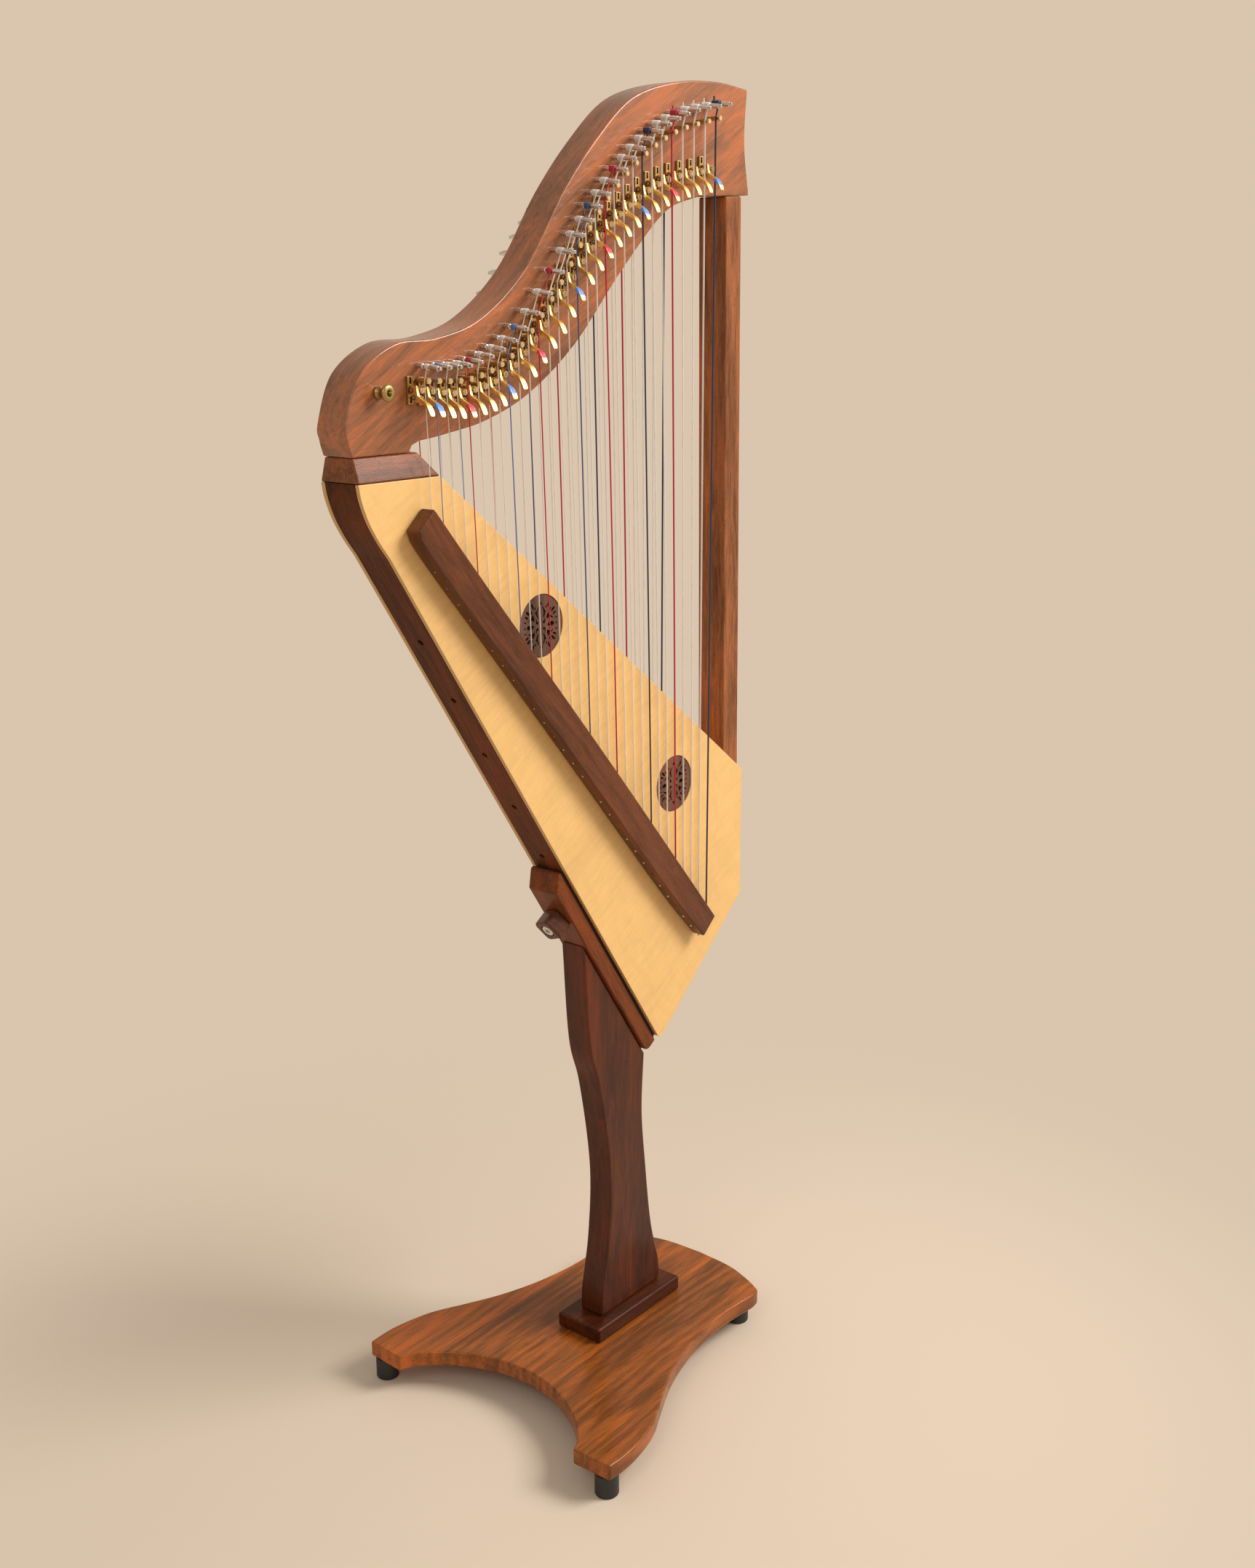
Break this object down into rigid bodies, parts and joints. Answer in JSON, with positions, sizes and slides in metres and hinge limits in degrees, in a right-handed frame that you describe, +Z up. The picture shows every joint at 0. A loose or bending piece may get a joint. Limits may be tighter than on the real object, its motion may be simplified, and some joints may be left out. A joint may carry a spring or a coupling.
{
  "type": "double-strung harp",
  "caption": "Double-strung lever harp with a slender angled sound box, a curved neck and a pillar, clamped in a sloping cradle on a pedestal stand.",
  "frame": {"origin": "on the floor, under the middle of the object's bounding box", "axes": "+Z up, +X from the treble end towards the pillar, -Y towards the near row of strings"},
  "size_m": [0.5967, 0.3748, 1.4335],
  "materials": {
    "red_walnut": "glossy oiled reddish walnut",
    "dark_walnut": "satin dark walnut",
    "brown_wood": "satin mid brown walnut",
    "birch_ply": "clear satin varnish on pale yellow birch plywood",
    "base_wood": "glossy orange-brown figured walnut",
    "rubber": "matt black",
    "gilt_brass": "polished gold-coloured",
    "nickel": "polished nickel",
    "felt": "black felt"
  },
  "bodies": {
    "harp": {"neck": "red_walnut", "shoulder_block": "red_walnut", "pillar": "brown_wood", "cradle": "brown_wood", "strap_button": "gilt_brass", "back_board": "dark_walnut", "string_rail_near": "dark_walnut", "string_rail_far": "dark_walnut", "pedestal": "dark_walnut", "plinth": "dark_walnut", "rosette_upper_near": "dark_walnut", "rosette_upper_far": "dark_walnut", "rosette_lower_near": "dark_walnut", "rosette_lower_far": "dark_walnut", "side_panel_near": "birch_ply", "side_panel_far": "birch_ply", "front_board": "birch_ply", "belly_board": "birch_ply", "base_board": "base_wood", "foot_back_near": "rubber", "foot_back_far": "rubber", "foot_front_near": "rubber", "foot_front_far": "rubber", "cradle_pad": "felt"},
    "knob": {"knob": "dark_walnut", "knob_bolt": "nickel"},
    "lever_01": {"lever_01": "gilt_brass"},
    "lever_02": {"lever_02": "gilt_brass"},
    "lever_03": {"lever_03": "gilt_brass"},
    "lever_04": {"lever_04": "gilt_brass"},
    "lever_05": {"lever_05": "gilt_brass"},
    "lever_06": {"lever_06": "gilt_brass"},
    "lever_07": {"lever_07": "gilt_brass"},
    "lever_08": {"lever_08": "gilt_brass"},
    "lever_09": {"lever_09": "gilt_brass"},
    "lever_10": {"lever_10": "gilt_brass"},
    "lever_11": {"lever_11": "gilt_brass"},
    "lever_12": {"lever_12": "gilt_brass"},
    "lever_13": {"lever_13": "gilt_brass"},
    "lever_14": {"lever_14": "gilt_brass"},
    "lever_15": {"lever_15": "gilt_brass"},
    "lever_16": {"lever_16": "gilt_brass"},
    "lever_17": {"lever_17": "gilt_brass"},
    "lever_18": {"lever_18": "gilt_brass"},
    "lever_19": {"lever_19": "gilt_brass"},
    "lever_20": {"lever_20": "gilt_brass"},
    "lever_21": {"lever_21": "gilt_brass"},
    "lever_22": {"lever_22": "gilt_brass"},
    "lever_23": {"lever_23": "gilt_brass"},
    "lever_24": {"lever_24": "gilt_brass"},
    "lever_25": {"lever_25": "gilt_brass"},
    "lever_26": {"lever_26": "gilt_brass"},
    "lever_27": {"lever_27": "gilt_brass"},
    "lever_28": {"lever_28": "gilt_brass"},
    "lever_29": {"lever_29": "gilt_brass"},
    "lever_30": {"lever_30": "gilt_brass"}
  },
  "joints": [
    {"name": "lever_01_flip", "type": "hinge", "parent": "harp", "child": "lever_01", "pos_m": [-0.22255, -0.025, 1.13905], "axis": [-1, 0, 0], "range_deg": [0, 70]},
    {"name": "lever_02_flip", "type": "hinge", "parent": "harp", "child": "lever_02", "pos_m": [-0.20903, -0.025, 1.13765], "axis": [-1, 0, 0], "range_deg": [0, 70]},
    {"name": "lever_03_flip", "type": "hinge", "parent": "harp", "child": "lever_03", "pos_m": [-0.19552, -0.025, 1.13597], "axis": [-1, 0, 0], "range_deg": [0, 70]},
    {"name": "lever_04_flip", "type": "hinge", "parent": "harp", "child": "lever_04", "pos_m": [-0.18199, -0.025, 1.1348], "axis": [-1, 0, 0], "range_deg": [0, 70]},
    {"name": "lever_05_flip", "type": "hinge", "parent": "harp", "child": "lever_05", "pos_m": [-0.16841, -0.025, 1.13499], "axis": [-1, 0, 0], "range_deg": [0, 70]},
    {"name": "lever_06_flip", "type": "hinge", "parent": "harp", "child": "lever_06", "pos_m": [-0.1548, -0.025, 1.13659], "axis": [-1, 0, 0], "range_deg": [0, 70]},
    {"name": "lever_07_flip", "type": "hinge", "parent": "harp", "child": "lever_07", "pos_m": [-0.14119, -0.025, 1.13911], "axis": [-1, 0, 0], "range_deg": [0, 70]},
    {"name": "lever_08_flip", "type": "hinge", "parent": "harp", "child": "lever_08", "pos_m": [-0.12751, -0.025, 1.14301], "axis": [-1, 0, 0], "range_deg": [0, 70]},
    {"name": "lever_09_flip", "type": "hinge", "parent": "harp", "child": "lever_09", "pos_m": [-0.11367, -0.025, 1.14882], "axis": [-1, 0, 0], "range_deg": [0, 70]},
    {"name": "lever_10_flip", "type": "hinge", "parent": "harp", "child": "lever_10", "pos_m": [-0.09959, -0.025, 1.15708], "axis": [-1, 0, 0], "range_deg": [0, 70]},
    {"name": "lever_11_flip", "type": "hinge", "parent": "harp", "child": "lever_11", "pos_m": [-0.08528, -0.025, 1.16773], "axis": [-1, 0, 0], "range_deg": [0, 70]},
    {"name": "lever_12_flip", "type": "hinge", "parent": "harp", "child": "lever_12", "pos_m": [-0.07087, -0.025, 1.17999], "axis": [-1, 0, 0], "range_deg": [0, 70]},
    {"name": "lever_13_flip", "type": "hinge", "parent": "harp", "child": "lever_13", "pos_m": [-0.0565, -0.025, 1.19301], "axis": [-1, 0, 0], "range_deg": [0, 70]},
    {"name": "lever_14_flip", "type": "hinge", "parent": "harp", "child": "lever_14", "pos_m": [-0.04231, -0.025, 1.20648], "axis": [-1, 0, 0], "range_deg": [0, 70]},
    {"name": "lever_15_flip", "type": "hinge", "parent": "harp", "child": "lever_15", "pos_m": [-0.02824, -0.025, 1.22138], "axis": [-1, 0, 0], "range_deg": [0, 70]},
    {"name": "lever_16_flip", "type": "hinge", "parent": "harp", "child": "lever_16", "pos_m": [-0.01421, -0.025, 1.23678], "axis": [-1, 0, 0], "range_deg": [0, 70]},
    {"name": "lever_17_flip", "type": "hinge", "parent": "harp", "child": "lever_17", "pos_m": [-0.00012, -0.025, 1.25147], "axis": [-1, 0, 0], "range_deg": [0, 70]},
    {"name": "lever_18_flip", "type": "hinge", "parent": "harp", "child": "lever_18", "pos_m": [0.01409, -0.025, 1.2644], "axis": [-1, 0, 0], "range_deg": [0, 70]},
    {"name": "lever_19_flip", "type": "hinge", "parent": "harp", "child": "lever_19", "pos_m": [0.02829, -0.025, 1.27611], "axis": [-1, 0, 0], "range_deg": [0, 70]},
    {"name": "lever_20_flip", "type": "hinge", "parent": "harp", "child": "lever_20", "pos_m": [0.04257, -0.025, 1.28687], "axis": [-1, 0, 0], "range_deg": [0, 70]},
    {"name": "lever_21_flip", "type": "hinge", "parent": "harp", "child": "lever_21", "pos_m": [0.05708, -0.025, 1.2967], "axis": [-1, 0, 0], "range_deg": [0, 70]},
    {"name": "lever_22_flip", "type": "hinge", "parent": "harp", "child": "lever_22", "pos_m": [0.07196, -0.025, 1.30564], "axis": [-1, 0, 0], "range_deg": [0, 70]},
    {"name": "lever_23_flip", "type": "hinge", "parent": "harp", "child": "lever_23", "pos_m": [0.08695, -0.025, 1.31366], "axis": [-1, 0, 0], "range_deg": [0, 70]},
    {"name": "lever_24_flip", "type": "hinge", "parent": "harp", "child": "lever_24", "pos_m": [0.1022, -0.025, 1.32078], "axis": [-1, 0, 0], "range_deg": [0, 70]},
    {"name": "lever_25_flip", "type": "hinge", "parent": "harp", "child": "lever_25", "pos_m": [0.11803, -0.025, 1.32703], "axis": [-1, 0, 0], "range_deg": [0, 70]},
    {"name": "lever_26_flip", "type": "hinge", "parent": "harp", "child": "lever_26", "pos_m": [0.13474, -0.025, 1.33242], "axis": [-1, 0, 0], "range_deg": [0, 70]},
    {"name": "lever_27_flip", "type": "hinge", "parent": "harp", "child": "lever_27", "pos_m": [0.15262, -0.025, 1.33661], "axis": [-1, 0, 0], "range_deg": [0, 70]},
    {"name": "lever_28_flip", "type": "hinge", "parent": "harp", "child": "lever_28", "pos_m": [0.17134, -0.025, 1.33979], "axis": [-1, 0, 0], "range_deg": [0, 70]},
    {"name": "lever_29_flip", "type": "hinge", "parent": "harp", "child": "lever_29", "pos_m": [0.19039, -0.025, 1.34257], "axis": [-1, 0, 0], "range_deg": [0, 70]},
    {"name": "lever_30_flip", "type": "hinge", "parent": "harp", "child": "lever_30", "pos_m": [0.20925, -0.025, 1.34603], "axis": [-1, 0, 0], "range_deg": [0, 70]},
    {"name": "knob_turn", "type": "hinge", "parent": "harp", "child": "knob", "pos_m": [-0.01203, 0, 0.57184], "axis": [-0.8387, 0, -0.5446], "continuous": true}
  ]
}
